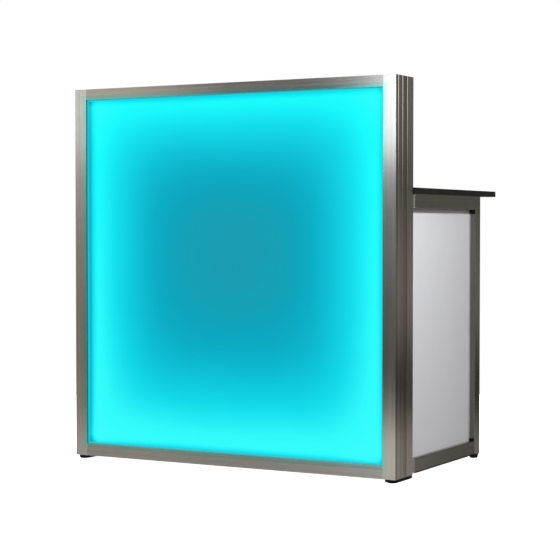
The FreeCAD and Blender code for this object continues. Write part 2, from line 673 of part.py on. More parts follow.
# ---------------------------------------------------------------- wings
rail_z = wing_top - s.prof                     # underside of the wing's top rail
wing_len = s.wing_end - s.wing_start
mid = s.prof / 2
p0, p1 = mid - s.slot_w / 2, mid + s.slot_w / 2
slot_in = s.slot_d + 0.5
w = s.tube_wall
end_plate = 3
for side, sg in SIDES:
    def out_x(u):
        """Distance inward from the outer face, as a local X."""
        u = dim(u)
        return u if u.t == "0.0" else (-u if sg > 0 else u)

    def rail_loops(slot_up, hollow):
        zz = (lambda v: s.prof - v) if slot_up else (lambda v: dim(v))
        loop = [(out_x(0), zz(0)), (out_x(p0), zz(0)), (out_x(p0), zz(slot_in)), (out_x(p1), zz(slot_in)),
                (out_x(p1), zz(0)), (out_x(s.prof), zz(0)), (out_x(s.prof), zz(s.prof)), (out_x(0), zz(s.prof))]
        if slot_up:
            loop = [(x, dim(0) if abs(z.n) < 1e-9 else z) for x, z in loop]
        core = [(out_x(w), zz(slot_in + w)), (out_x(s.prof - w), zz(slot_in + w)), (out_x(s.prof - w), zz(s.prof - w)), (out_x(w), zz(s.prof - w))]
        return [loop, core] if hollow else [loop]

    xs = (0, -sg * s.prof.n)
    for label, slot_up, z0, length in (("wing_top_rail_" + side, False, rail_z, wing_len - 2),
                                       ("wing_bottom_rail_" + side, True, s.wing_low, wing_len - s.prof)):
        b = new_body(label)
        # closed front end, then the hollow length behind it
        pad(b, sketch(b, "XZ_Plane", rail_loops(slot_up, False)), end_plate, back=True)
        pad(b, sketch(b, "XZ_Plane", rail_loops(slot_up, True), offset=-dim(end_plate)), length - end_plate, back=True)
        round_edges(b, lambda e: along(e, 1) and e.Length > 100 and any(at(e, 0, x) and at(e, 2, z) for x in xs for z in (0, s.prof.n)), s.edge_round)
        round_edges(b, lambda e: along(e, 2) and at(e, 0, 0) and at(e, 1, 0), s.rail_nose)
        place(b, sg * half_w, depth(s.wing_start), z0)
        node(b)

    b = new_body("wing_rear_post_" + side)
    loop = [(out_x(0), 0), (out_x(p0), 0), (out_x(p0), slot_in), (out_x(p1), slot_in), (out_x(p1), 0),
            (out_x(s.prof), 0), (out_x(s.prof), s.prof), (out_x(0), s.prof)]
    core = [(out_x(w), slot_in + w), (out_x(s.prof - w), slot_in + w), (out_x(s.prof - w), s.prof - w), (out_x(w), s.prof - w)]
    pad(b, sketch(b, "XY_Plane", [loop, core]), rail_z - s.wing_low)
    round_edges(b, lambda e: along(e, 2) and any(at(e, 0, x) and at(e, 1, y) for x in xs for y in (0, s.prof.n)), s.edge_round)
    place(b, sg * half_w, depth(s.wing_end - s.prof), s.wing_low)
    node(b)

    # slim hinge stile behind the panel's front edge
    b = new_body("wing_hinge_stile_" + side)
    a0, a1 = s.prof, p1
    sw = s.stile_wall
    pad(b, sketch(b, "XY_Plane", [rect(out_x(a1), 0, out_x(a0), s.stile_w),
                                  rect(out_x(a1 + sw), sw, out_x(a0 - sw), s.stile_w - sw)]), rail_z - s.wing_low - s.prof)
    place(b, sg * half_w, depth(s.wing_start), s.wing_low + s.prof)
    node(b)

    # panel in the slots of both rails and the rear post
    b = new_body("wing_panel_" + side)
    c0 = mid - s.sheet_thick / 2
    pad(b, sketch(b, "XY_Plane", [rect(out_x(c0), 0, out_x(c0 + s.sheet_thick), s.wing_end - s.prof + s.sheet_in - s.wing_start - 1)]),
        rail_z - s.wing_low - s.prof + 2 * s.sheet_in)
    place(b, sg * half_w, depth(s.wing_start) + 1, s.wing_low + s.prof - s.sheet_in)
    node(b)

    # rear end cap of the top rail, base cap of the rear post with the foot's hole
    b1 = new_body("rail_cap_" + side)
    pad(b1, sketch(b1, "XZ_Plane", [rect(-s.prof / 2 + 0.3, 0.3, s.prof / 2 - 0.3, s.prof - 0.3)]), 2, back=True)
    round_edges(b1, lambda e: along(e, 1), 1)
    place(b1, sg * (half_w - mid), depth(s.wing_end - 2), rail_z)
    b2 = new_body("post_cap_" + side)
    ci = s.cap_in
    pad(b2, sketch(b2, "XY_Plane", [rect(-s.prof / 2 + ci, ci, s.prof / 2 - ci, s.prof - ci)],
                   [(sg * (mid - s.wing_foot_in), s.prof - s.wing_foot_back, s.stem_rad + s.stem_play)]), s.cap_thick)
    round_edges(b2, lambda e: along(e, 2), 3)
    round_edges(b2, lambda e: at(e, 2, 0) and e.Length > 25, 1, kind="Chamfer")
    place(b2, sg * (half_w - mid), depth(s.wing_end - s.prof), s.wing_low - s.cap_thick)
    node(compound("wing_end_caps_" + side, [b1, b2]))

    # clips that hold the panel in its rear corners
    a, c = sg * (half_w - 1), sg * (half_w - 1 - s.clip_w)
    x0, x1 = (c, a) if sg > 0 else (a, c)
    yb = depth(s.wing_end - s.prof)
    node(compound("wing_panel_clips_" + side, [
        box("clip_top_" + side, x0, yb - s.clip_y, rail_z - s.clip_h, x1, yb, rail_z),
        box("clip_bottom_" + side, x0, yb - s.clip_y, s.wing_low + s.prof, x1, yb, s.wing_low + s.prof + s.clip_low)]))

    node(group("hinge_leaves_wing_" + side, wing_master, hinge_places(sg)))
    node(group("hinge_screws_wing_" + side, screw, leaf_screws(sg, s.leaf_wing, 1)))

# ---------------------------------------------------------------- worktop
b = new_body("worktop_board")
tw = inner - s.tongue_clear
top_half = half_w + s.top_over
bw = top_half - s.edging
y_f, y_t, y_r = s.top_front, s.tongue_front, s.total_depth - s.edging
pad(b, sketch(b, "XY_Plane", [[(-bw, y_f), (-tw, y_f), (-tw, y_t), (tw, y_t), (tw, y_f), (bw, y_f), (bw, y_r), (-bw, y_r)]]), s.top_thick)
place(b, 0, front_y, under_top)
node(b)
edge_bodies = []
for label, x0, y0, x1, y1 in (("edging_left", -top_half, y_f, -bw, y_r), ("edging_right", bw, y_f, top_half, y_r),
                              ("edging_rear", -top_half, y_r, top_half, s.total_depth)):
    e = new_body(label)
    pad(e, sketch(e, "XY_Plane", [rect(0, 0, dim(x1) - x0, dim(y1) - y0)]), s.top_thick)
    outer = {"edging_left": (0, 0.0), "edging_right": (0, s.edging.n), "edging_rear": (1, s.edging.n)}[label]
    round_edges(e, lambda ed: at(ed, outer[0], outer[1]) and ed.Length > 100, 0.8)
    place(e, x0, depth(y0), under_top)
    edge_bodies.append(e)
node(compound("worktop_edging", edge_bodies))
dowel = fuse("dowel_master", [cyl("dowel_shank", 5, 16, z=-6), cyl("dowel_tip", 4.2, 2, z=-8)])
doc.recompute()
node(group("worktop_dowels", dowel, [here(x, depth(tall_front + post_mid), under_top) for x in (-400, 400)]))

# ---------------------------------------------------------------- control box behind the light box
back_face = s.back_slot + (s.back_slot_w - s.back_thick) / 2 + s.back_thick
case_d = s.case_back - back_face
b = new_body("control_box_case")
pad(b, sketch(b, "XZ_Plane", [rect(0, 0, s.case_w, s.case_h)]), case_d, back=True)
cw = s.case_wall
cb = cw + 10
inside = [(cb, cw), (s.case_w - cb, cw), (s.case_w - cb, cb), (s.case_w - cw, cb), (s.case_w - cw, s.case_h - cb),
          (s.case_w - cb, s.case_h - cb), (s.case_w - cb, s.case_h - cw), (cb, s.case_h - cw), (cb, s.case_h - cb),
          (cw, s.case_h - cb), (cw, cb), (cb, cb)]
pocket(b, sketch(b, "XZ_Plane", [inside], offset=-case_d - 1, name="Inside"), case_d + 1 - cw, back=True)
place(b, cx0, depth(back_face), cz0)
node(b)

# positions on the cover, from its lower left corner as seen from the front
in_x, in_z = dim(42), s.case_h / 2
sw_x, sw_z = dim(96), s.case_h / 2
bt_x = (dim(140), dim(168))
bt_z = s.case_h / 2
iw, ih, il = s.inlet_w / 2 + s.inlet_wall, s.inlet_h / 2 + s.inlet_wall, s.inlet_wall
ry = s.rocker_w / 2 + 1.6
rz = s.rocker_h / 2 + 2.2
b = new_body("control_box_cover")
loops = [rect(0, 0, s.case_w, s.case_h)]
for i in range(13):
    vx, vz = s.case_w / 2 + s.vent_pitch * (i - 6), s.case_h - 18
    loops.append(rect(vx - s.vent_w / 2, vz - s.vent_h / 2, vx + s.vent_w / 2, vz + s.vent_h / 2))
loops += [
         rect(in_x - iw - 0.2, in_z - ih - 0.2, in_x + iw + 0.2, in_z + ih + 0.2),
         rect(sw_x - ry - 0.2, sw_z - rz - 0.2, sw_x + ry + 0.2, sw_z + rz + 0.2)]
circ = [(x, bt_z, s.button_rad + s.button_play) for x in bt_x]
circ += [(x, z, s.screw_rad + 0.2) for x in (dim(7), s.case_w - 7) for z in (dim(7), s.case_h - 7)]
pad(b, sketch(b, "XZ_Plane", loops, circ), s.cover_thick, back=True)
round_edges(b, lambda e: along(e, 1) and e.Length < 10 and (at(e, 0, 0) or at(e, 0, s.case_w.n)), 2)
place(b, cx0, depth(s.case_back), cz0)
node(b)

# driver on the case's floor plate
b = new_body("led_driver")
pad(b, sketch(b, "XZ_Plane", [rect(0, 0, 150, 46)]), 24, back=True)
round_edges(b, lambda e: along(e, 1), 2)
place(b, cx0 + 30, depth(back_face + cw), cz0 + 23)
node(b)

# mains inlet: flange, shell and a mouth with two cut corners
b = new_body("inlet_socket")
flange_t = 2.4
deep = s.inlet_deep - flange_t + 2.6
pad(b, sketch(b, "XZ_Plane", [rect(-iw, -ih, iw, ih)], offset=deep), deep + s.cover_thick, back=True)
pad(b, sketch(b, "XZ_Plane", [rect(-iw - 2.5, -ih - 2, iw + 2.5, ih + 2)], offset=-s.cover_thick), flange_t, back=True)
mw, mh, mc = s.inlet_w / 2, s.inlet_h / 2, 4
mouth = [(-mw, -mh), (mw, -mh), (mw, mh - mc), (mw - mc, mh), (-mw + mc, mh), (-mw, mh - mc)]
pocket(b, sketch(b, "XZ_Plane", [mouth], offset=-s.cover_thick - flange_t - 1, name="Mouth"), s.inlet_deep + 1, back=True)
place(b, cx0 + in_x, depth(s.case_back), cz0 + in_z)
node(b)
floor_y = depth(s.case_back + s.cover_thick + flange_t) - s.inlet_deep
pins = []
for i, (px, pz) in enumerate(((-7, -2.5), (0, 2.5), (7, -2.5))):
    pins.append(box("contact_%d" % i, cx0 + in_x + px - 1, floor_y, cz0 + in_z + pz - 2,
                    cx0 + in_x + px + 1, floor_y + 8, cz0 + in_z + pz + 2))
node(compound("inlet_contacts", pins))

# rocker switch: bezel frame in the cover, rocker on its pivot
b = new_body("switch_bezel")
pad(b, sketch(b, "XZ_Plane", [rect(-ry, -rz, ry, rz), rect(-s.rocker_w / 2 - 0.4, -s.rocker_h / 2 - 1, s.rocker_w / 2 + 0.4, s.rocker_h / 2 + 1)],
              offset=12), s.cover_thick + 12, back=True)
pad(b, sketch(b, "XZ_Plane", [rect(-ry - 1.8, -rz - 1.8, ry + 1.8, rz + 1.8),
                              rect(-s.rocker_w / 2 - 0.4, -s.rocker_h / 2 - 1, s.rocker_w / 2 + 0.4, s.rocker_h / 2 + 1)],
              offset=-s.cover_thick), 1.6, back=True)
place(b, cx0 + sw_x, depth(s.case_back), cz0 + sw_z)
node(b)
b = new_body("rocker_switch")
rh = s.rocker_h / 2
pad(b, sketch(b, "YZ_Plane", [[(-6, -rh + 1.5), (1.4, -rh), (3.2, -rh), (2.2, 0), (3.2, rh), (1.4, rh), (-6, rh - 1.5)]]), s.rocker_w)
round_edges(b, lambda e: along(e, 0) and at(e, 1, 3.2), 0.6)
b.Placement = Placement(Vector(0, 0, 0), Rotation(Vector(1, 0, 0), s.rocker_tilt.n))
b.setExpression("Placement.Rotation.Angle", s.rocker_tilt.t)
place(b, cx0 + sw_x - s.rocker_w / 2, depth(s.case_back + s.cover_thick), cz0 + sw_z)
node(b)

# push buttons: cap through the cover, flange behind it
for name, bx in (("colour_button", bt_x[0]), ("brightness_button", bt_x[1])):
    b = new_body(name)
    r, c = s.button_rad, s.cover_thick
    sk = sketch(b, "XY_Plane", [[(0, -2.0), (r + 1.5, -2.0), (r + 1.5, -0.4), (r, -0.4), (r, c + 2.4), (r - 0.6, c + 3), (0, c + 3)]])
    f = b.newObject("PartDesign::Revolution", "Turned")
    f.Profile = sk
    f.ReferenceAxis = (sk, ["V_Axis"])
    f.Angle = 360
    b.Tip = f
    doc.recompute()
    place(b, cx0 + bx, depth(s.case_back), cz0 + bt_z)
    node(b)

# lead from the control box down inside the light box to the bottom strip
lx, lz = cx0 + 180, cz0 + 46
ly = depth(s.back_slot + (s.back_slot_w - s.back_thick) / 2)
bend = 10
lead_end = gz0 + s.strip_thick
run = 19
p_a = Vector(lx.n, ly.n, lz.n)
p_b = Vector(lx.n, ly.n - run, lz.n)
p_c = Vector(lx.n, ly.n - run - bend, lz.n - bend)
p_m = Vector(lx.n, ly.n - run - bend * 0.70710678, lz.n - bend * 0.29289322)
p_d = Vector(lx.n, ly.n - run - bend, lead_end.n)
path = Part.Wire([Part.LineSegment(p_a, p_b).toShape(), Part.Arc(p_b, p_m, p_c).toShape(), Part.LineSegment(p_c, p_d).toShape()])
lead = doc.addObject("Part::Feature", "led_lead")
lead.Label = "led_lead"
lead.Shape = path.makePipeShell([Part.Wire([Part.makeCircle(s.lead_rad.n, p_a, Vector(0, -1, 0))])], True, False)
node(lead)

# ---------------------------------------------------------------- feet


def foot(label, r, dh, low):
    """Levelling foot about its own +Y: disc with a rounded lower edge, and the stem above it."""
    b = new_body(label)
    st = s.stem_rad
    sk = sketch(b, "XY_Plane", [[(0, 0), (r, 0), (r, dh - 0.2), (st, dh - 0.2), (st, dh + s.stem_len), (0, dh + s.stem_len)]])
    f = b.newObject("PartDesign::Revolution", "Turned")
    f.Profile = sk
    f.ReferenceAxis = (sk, ["V_Axis"])
    f.Angle = 360
    b.Tip = f
    doc.recompute()
    ring_at = lambda e, y: e.Curve.TypeId == "Part::GeomCircle" and at(e, 1, y) and abs(e.Curve.Radius - r.n) < 1e-5
    round_edges(b, lambda e: ring_at(e, 0), low)
    round_edges(b, lambda e: ring_at(e, dh.n - 0.2), 0.8)
    return b


post_foot = foot("post_foot_master", s.foot_rad, s.disc_height, s.foot_round)
wing_foot = foot("wing_foot_master", s.wing_foot_rad, s.wing_low - s.cap_thick, s.wing_foot_round)
upright = Rotation(Vector(1, 0, 0), 90)
for side, sg in SIDES:
    for name, y, side_in, master in (("foot_front_", foot_front, s.foot_in, post_foot), ("foot_tall_", foot_tall, s.foot_in, post_foot),
                                     ("foot_wing_", s.wing_end - s.wing_foot_back, s.wing_foot_in, wing_foot)):
        node(group(name + side, master, [here(sg * (half_w - side_in), depth(y), 0, upright)]))

# ---------------------------------------------------------------- check and write
doc.recompute()
for obj in doc.Objects:
    if "Invalid" in obj.State or "Error" in obj.State:
        raise RuntimeError("failed object: %s (%s)" % (obj.Label, obj.State))
total = 0.0
for obj in NODES:
    shape = obj.Shape
    if shape.isNull() or not shape.isValid() or not shape.Solids:
        raise RuntimeError("bad shape: " + obj.Label)
    total += shape.Volume
for obj in NODES:
    obj.Shape.exportStep("parts/%s.step" % obj.Label)
box_all = Part.makeCompound([o.Shape for o in NODES]).BoundBox
print("%d nodes, volume %.0f cm3, box %s" % (len(NODES), total / 1000, box_all))
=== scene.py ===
import bpy, bmesh, math
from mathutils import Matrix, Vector
from mathutils.bvhtree import BVHTree


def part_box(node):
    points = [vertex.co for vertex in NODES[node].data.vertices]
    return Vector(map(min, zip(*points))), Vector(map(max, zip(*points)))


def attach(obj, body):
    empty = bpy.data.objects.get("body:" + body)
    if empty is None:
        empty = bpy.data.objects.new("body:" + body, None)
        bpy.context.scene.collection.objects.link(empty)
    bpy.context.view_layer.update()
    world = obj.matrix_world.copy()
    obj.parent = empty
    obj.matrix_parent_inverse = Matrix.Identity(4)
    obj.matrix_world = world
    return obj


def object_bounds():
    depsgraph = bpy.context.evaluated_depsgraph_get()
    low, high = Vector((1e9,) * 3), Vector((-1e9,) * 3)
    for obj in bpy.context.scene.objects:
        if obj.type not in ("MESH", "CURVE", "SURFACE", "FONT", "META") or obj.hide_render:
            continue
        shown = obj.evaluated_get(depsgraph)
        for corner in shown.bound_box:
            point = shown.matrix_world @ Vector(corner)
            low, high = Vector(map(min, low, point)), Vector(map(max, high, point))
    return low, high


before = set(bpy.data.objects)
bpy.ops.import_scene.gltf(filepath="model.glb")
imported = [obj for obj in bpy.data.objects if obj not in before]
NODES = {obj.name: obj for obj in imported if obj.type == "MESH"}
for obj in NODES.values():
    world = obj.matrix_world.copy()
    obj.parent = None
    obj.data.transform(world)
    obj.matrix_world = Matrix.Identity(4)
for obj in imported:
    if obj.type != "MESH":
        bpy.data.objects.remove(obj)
CAD_LO, CAD_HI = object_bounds()
scene = bpy.context.scene
scene.view_settings.view_transform = "Standard"
scene.view_settings.look = "None"
scene.view_settings.exposure = 0.0
scene.view_settings.gamma = 1.0

# ------------------------------------------------------------------ camera
cam_data = bpy.data.cameras.new("camera")
cam = bpy.data.objects.new("camera", cam_data)
scene.collection.objects.link(cam)
scene.camera = cam
cam_data.sensor_fit = "HORIZONTAL"
cam_data.sensor_width = 36.0
cam_data.lens = 36.0 * 1640.3 / 560.0
cam_data.clip_start, cam_data.clip_end = 0.05, 100.0
YAW, PITCH = math.radians(28.97), math.radians(1.7945)
look = Vector((-math.sin(YAW) * math.cos(PITCH), math.cos(YAW) * math.cos(PITCH), -math.sin(PITCH)))
cam.location = (3.3446 - 0.605, -4.5917 - 0.408, 0.7755 + 0.015)
cam.rotation_mode = "QUATERNION"
cam.rotation_quaternion = look.to_track_quat("-Z", "Y")


# ------------------------------------------------------------------ node helpers
class Tree:
    """Short hand for building a node tree."""

    def __init__(self, tree):
        self.t = tree
        self.t.nodes.clear()

    def new(self, kind, **props):
        n = self.t.nodes.new(kind)
        for k, v in props.items():
            setattr(n, k, v)
        return n

    def link(self, a, b):
        self.t.links.new(a, b)

    def put(self, socket, value):
        if isinstance(value, (int, float)):
            socket.default_value = value
        elif isinstance(value, (tuple, list)):
            socket.default_value = value
        else:
            self.link(value, socket)

    def math(self, op, a, b=None, c=None, clamp=False):
        n = self.new("ShaderNodeMath", operation=op, use_clamp=clamp)
        self.put(n.inputs[0], a)
        if b is not None:
            self.put(n.inputs[1], b)
        if c is not None:
            self.put(n.inputs[2], c)
        return n.outputs[0]

    def ramp(self, v, lo, hi, out_lo=0.0, out_hi=1.0, smooth=True):
        n = self.new("ShaderNodeMapRange", interpolation_type="SMOOTHSTEP" if smooth else "LINEAR")
        n.clamp = True
        self.put(n.inputs["Value"], v)
        n.inputs["From Min"].default_value = lo
        n.inputs["From Max"].default_value = hi
        n.inputs["To Min"].default_value = out_lo
        n.inputs["To Max"].default_value = out_hi
        return n.outputs["Result"]

    def coords(self, scale=(1, 1, 1), loc=(0, 0, 0), which="Object"):
        tc = self.new("ShaderNodeTexCoord")
        m = self.new("ShaderNodeMapping")
        m.inputs["Scale"].default_value = scale
        m.inputs["Location"].default_value = loc
        self.link(tc.outputs[which], m.inputs["Vector"])
        return m.outputs["Vector"]

    def noise(self, vec, scale=1.0, detail=3.0, rough=0.5, distortion=0.0):
        n = self.new("ShaderNodeTexNoise")
        self.link(vec, n.inputs["Vector"])
        n.inputs["Scale"].default_value = scale
        n.inputs["Detail"].default_value = detail
        n.inputs["Roughness"].default_value = rough
        n.inputs["Distortion"].default_value = distortion
        return n.outputs[0]

    def two(self, fac, a, b):
        """Colour between a and b by a varying factor."""
        n = self.new("ShaderNodeMix", data_type="RGBA")
        self.link(fac, n.inputs[0])
        for s, v in ((n.inputs[6], a), (n.inputs[7], b)):
            if isinstance(v, (tuple, list)):
                s.default_value = (*v[:3], 1.0)
            else:
                self.link(v, s)
        return n.outputs[2]

    def bump(self, height, strength, distance):
        n = self.new("ShaderNodeBump")
        n.inputs["Strength"].default_value = strength
        n.inputs["Distance"].default_value = distance
        self.link(height, n.inputs["Height"])
        return n.outputs["Normal"]


def material(name):
    m = bpy.data.materials.new(name)
    m.use_nodes = True
    t = Tree(m.node_tree)
    out = t.new("ShaderNodeOutputMaterial")
    p = t.new("ShaderNodeBsdfPrincipled")
    t.link(p.outputs[0], out.inputs["Surface"])
    return m, t, p


FRONT_Y = CAD_LO[1]
# painted reflection: tone of the posts' grooved sides by distance behind the front face, in metres, in place of the
# different reflection each strip shows
STRIP_PAINTED_REFLECTION = ((0.0, 1.0), (0.0006, 1.0), (0.0010, 0.72), (0.0150, 0.70), (0.0156, 1.0), (0.0196, 1.0), (0.0204, 1.02), (0.034, 0.88), (0.0464, 0.70),
             (0.0470, 1.0), (0.0512, 1.0), (0.0520, 0.76), (0.066, 0.72), (0.0775, 0.62), (0.0800, 0.66))


def paint_sheet_reflection(t, colour):
    """Painted reflection: the metal beside the lit sheet is tinted with the sheet's cyan light, fading out within
    about an inch.
    """
    tc = t.new("ShaderNodeTexCoord")
    sep = t.new("ShaderNodeSeparateXYZ")
    t.link(tc.outputs["Object"], sep.inputs[0])
    x, z = sep.outputs[0], sep.outputs[2]
    fore = t.ramp(t.math("SUBTRACT", sep.outputs[1], FRONT_Y), 0.008, 0.016, 1.0, 0.0)
    off = t.math("MAXIMUM", t.math("SUBTRACT", t.math("ABSOLUTE", x), 0.560),
                 t.math("MAXIMUM", t.math("SUBTRACT", 0.0535, z), t.math("SUBTRACT", z, 1.2285)))
    off = t.math("MAXIMUM", off, 0.0)
    less = t.math("MULTIPLY", t.ramp(off, 0.0, 0.019, 0.52, 0.0, smooth=False), fore)
    more = t.math("MULTIPLY", t.math("EXPONENT", t.math("DIVIDE", off, -0.0055)), t.math("MULTIPLY", fore, 0.40))
    scale = t.new("ShaderNodeCombineXYZ")
    t.link(t.math("SUBTRACT", 1.0, less), scale.inputs[0])
    t.link(t.math("ADD", 1.0, more), scale.inputs[1])
    t.link(t.math("ADD", 1.0, t.math("MULTIPLY", more, 0.85)), scale.inputs[2])
    n = t.new("ShaderNodeVectorMath", operation="MULTIPLY")
    t.link(colour, n.inputs[0])
    t.link(scale.outputs[0], n.inputs[1])
    return n.outputs[0]


def paint_strip_reflection(t, colour):
    """Painted reflection: each strip between the grooves is given its own tone, in place of the different sheen it
    reflects.
    """
    tc = t.new("ShaderNodeTexCoord")
    sep = t.new("ShaderNodeSeparateXYZ")
    t.link(tc.outputs["Object"], sep.inputs[0])
    tone = t.new("ShaderNodeValToRGB")
    t.link(t.ramp(t.math("SUBTRACT", sep.outputs[1], FRONT_Y), 0.0, 0.08, smooth=False), tone.inputs[0])
    e = tone.color_ramp.elements
    while len(e) < len(STRIP_PAINTED_REFLECTION):
        e.new(0.5)
    for i, (at, v) in enumerate(STRIP_PAINTED_REFLECTION):
        e[i].position = at / 0.08
        e[i].color = (v, v, v, 1.0)
    n = t.new("ShaderNodeVectorMath", operation="MULTIPLY")
    t.link(colour, n.inputs[0])
    t.link(tone.outputs[0], n.inputs[1])
    return n.outputs[0]


def brushed(name, axis, dark=(0.53, 0.51, 0.482), light=(0.71, 0.685, 0.647), rough=0.16, lit=False, strips=False):
    """Satin metal brushed along one axis of the booth."""
    m, t, p = material(name)
    along = "XYZ".index(axis)
    fine = [1500.0] * 3
    fine[along] = 5.0
    wide = [170.0] * 3
    wide[along] = 1.6
    n1 = t.noise(t.coords(fine), 1.0, 3.0, 0.6)
    n2 = t.noise(t.coords(wide, (3.1, 7.7, 1.3)), 1.0, 2.0, 0.55)
    n3 = t.noise(t.coords((9.0, 9.0, 9.0), (0.4, 0.2, 5.0)), 1.0, 3.0, 0.6)
    mixed = t.math("ADD", t.math("MULTIPLY", n1, 0.45), t.math("ADD", t.math("MULTIPLY", n2, 0.4), t.math("MULTIPLY", n3, 0.15)))
    fac = t.ramp(mixed, 0.34, 0.66, smooth=False)
    colour = t.two(fac, dark, light)
    # painted reflection of the lit sheet's glow on the metal next to it
    if lit:
        colour = paint_sheet_reflection(t, colour)
    # painted reflection on the posts' grooved sides
    if strips:
        colour = paint_strip_reflection(t, colour)
    t.link(colour, p.inputs["Base Color"])
    t.link(t.ramp(t.math("ADD", t.math("MULTIPLY", n2, 0.5), t.math("MULTIPLY", n3, 0.5)), 0.3, 0.7, rough - 0.02, rough + 0.03, smooth=False), p.inputs["Roughness"])
    p.inputs["Metallic"].default_value = 1.0
    p.inputs["Anisotropic"].default_value = 0.97
    tan = t.new("ShaderNodeTangent", direction_type="RADIAL", axis=axis)
    t.link(tan.outputs[0], p.inputs["Tangent"])
    t.link(t.bump(n1, 0.06, 0.0002), p.inputs["Normal"])
    return m


METAL = {a: brushed("brushed_metal_" + a.lower(), a) for a in "XZ"}
# front frame: painted reflection of the lit sheet near the opening; the posts also carry the painted strip reflections
FRAME = {"X": brushed("brushed_rail_painted_glow", "X", lit=True), "Z": brushed("brushed_post_painted_glow", "Z", lit=True, strips=True)}
# painted shade: the wing members get a darker copy of the same brushed metal
WING = {a: brushed("brushed_wing_shaded_" + a.lower(), a, (0.385, 0.371, 0.349), (0.52, 0.502, 0.475)) for a in "YZ"}
# glazing bead: a darker copy of the brushed metal, painted shade on the frame's inner faces
BEAD = {a: brushed("bead_painted_shade_" + a.lower(), a, (0.17, 0.162, 0.15), (0.25, 0.24, 0.225), 0.22) for a in "YZ"}


def plain_metal(name, dark, light, rough, scale=400.0):
    m, t, p = material(name)
    n1 = t.noise(t.coords((scale,) * 3), 1.0, 4.0, 0.6)
    n2 = t.noise(t.coords((60.0,) * 3, (2.0, 3.0, 4.0)), 1.0, 3.0, 0.55)
    mixed = t.math("ADD", t.math("MULTIPLY", n1, 0.5), t.math("MULTIPLY", n2, 0.5))
    t.link(t.two(t.ramp(mixed, 0.35, 0.65, smooth=False), dark, light), p.inputs["Base Color"])
    t.link(t.ramp(n2, 0.3, 0.7, rough - 0.06, rough + 0.08, smooth=False), p.inputs["Roughness"])
    p.inputs["Metallic"].default_value = 1.0
    t.link(t.bump(n1, 0.08, 0.0002), p.inputs["Normal"])
    return m


def plastic(name, dark, light, rough, grain=900.0, bump=0.15, spec=0.4, depth=0.0003):
    m, t, p = material(name)
    n1 = t.noise(t.coords((grain,) * 3), 1.0, 4.0, 0.65)
    n2 = t.noise(t.coords((23.0,) * 3, (5.0, 1.0, 2.0)), 1.0, 4.0, 0.6)
    mixed = t.math("ADD", t.math("MULTIPLY", n1, 0.35), t.math("MULTIPLY", n2, 0.65))
    t.link(t.two(t.ramp(mixed, 0.36, 0.64, smooth=False), dark, light), p.inputs["Base Color"])
    t.link(t.ramp(n2, 0.3, 0.7, rough - 0.05, rough + 0.07, smooth=False), p.inputs["Roughness"])
    p.inputs["Specular IOR Level"].default_value = spec
    t.link(t.bump(n1, bump, depth), p.inputs["Normal"])
    return m


STEEL = plain_metal("zinc_plate", (0.42, 0.42, 0.43), (0.60, 0.60, 0.60), 0.34)
BLACK = plastic("black_plastic", (0.010, 0.010, 0.011), (0.026, 0.026, 0.028), 0.46)
RUBBER = plastic("black_rubber", (0.008, 0.008, 0.008), (0.022, 0.022, 0.022), 0.7, 700.0, 0.25)
JET = plastic("jet_rubber", (0.0025, 0.0025, 0.0027), (0.0065, 0.0065, 0.007), 0.62, 700.0, 0.25, 0.16)
POWDER = plastic("powder_coat", (0.125, 0.128, 0.134), (0.175, 0.178, 0.186), 0.5, 1300.0, 0.35, 0.45)
DRIVER = plastic("driver_case", (0.42, 0.43, 0.44), (0.55, 0.56, 0.57), 0.4, 600.0, 0.1)
BOARD_MASK = plastic("strip_mask", (0.70, 0.71, 0.69), (0.82, 0.82, 0.80), 0.5, 500.0, 0.1)
SEAL = plastic("pale_seal", (0.26, 0.263, 0.272), (0.32, 0.323, 0.332), 0.58, 700.0, 0.15, 0.2)
MARK = plastic("white_marks", (0.62, 0.62, 0.60), (0.74, 0.74, 0.72), 0.5, 900.0, 0.1)
PANEL = plastic("white_panel", (0.765, 0.775, 0.815), (0.785, 0.795, 0.835), 0.4, 350.0, 0.02, 0.25)
BACK = plastic("white_back", (0.76, 0.76, 0.765), (0.79, 0.79, 0.795), 0.42, 300.0, 0.04, 0.4)
EDGING = plastic("black_edging", (0.005, 0.005, 0.0055), (0.012, 0.012, 0.0125), 0.42, 800.0, 0.08, 0.19)


def laminate():
    """Black pressed laminate: fine pearl grain with paler specks and faint wiping marks."""
    m, t, p = material("black_laminate")
    pearl = t.noise(t.coords((1500.0,) * 3), 1.0, 3.0, 0.6)
    grain = t.noise(t.coords((420.0,) * 3, (2.0, 5.0, 1.0)), 1.0, 3.0, 0.55)
    wiped = t.noise(t.coords((3.0, 26.0, 8.0), (1.0, 0.5, 0.2), ), 1.0, 3.0, 0.5)
    mixed = t.math("ADD", t.math("MULTIPLY", pearl, 0.6), t.math("MULTIPLY", grain, 0.4))
    t.link(t.two(t.ramp(mixed, 0.36, 0.66, smooth=False), (0.0055, 0.0055, 0.0062), (0.0175, 0.0175, 0.019)), p.inputs["Base Color"])
    rough = t.math("ADD", t.math("MULTIPLY", grain, 0.5), t.math("MULTIPLY", wiped, 0.5))
    t.link(t.ramp(rough, 0.35, 0.65, 0.425, 0.475, smooth=False), p.inputs["Roughness"])
    p.inputs["Specular IOR Level"].default_value = 0.32
    t.link(t.bump(mixed, 0.22, 0.0003), p.inputs["Normal"])
    return m


LAMINATE = laminate()

# lit sheet: glows brighter towards the four edges, with painted shade along the frame
LIT_HUE = (0.004, 0.73, 1.0)
# glow by brightness: the blue closes up with the green as the sheet gets brighter
LIT_STOPS = ((0.27, (0.010, 0.310, 0.412)), (0.37, (0.002, 0.365, 0.492)), (0.43, (0.001, 0.418, 0.552)), (0.60, (0.003, 0.603, 0.738)),
             (0.80, (0.004, 0.795, 0.878)), (0.97, (0.006, 0.940, 0.960)), (1.06, (0.008, 0.966, 0.968)), (1.30, (0.022, 0.970, 0.972)))


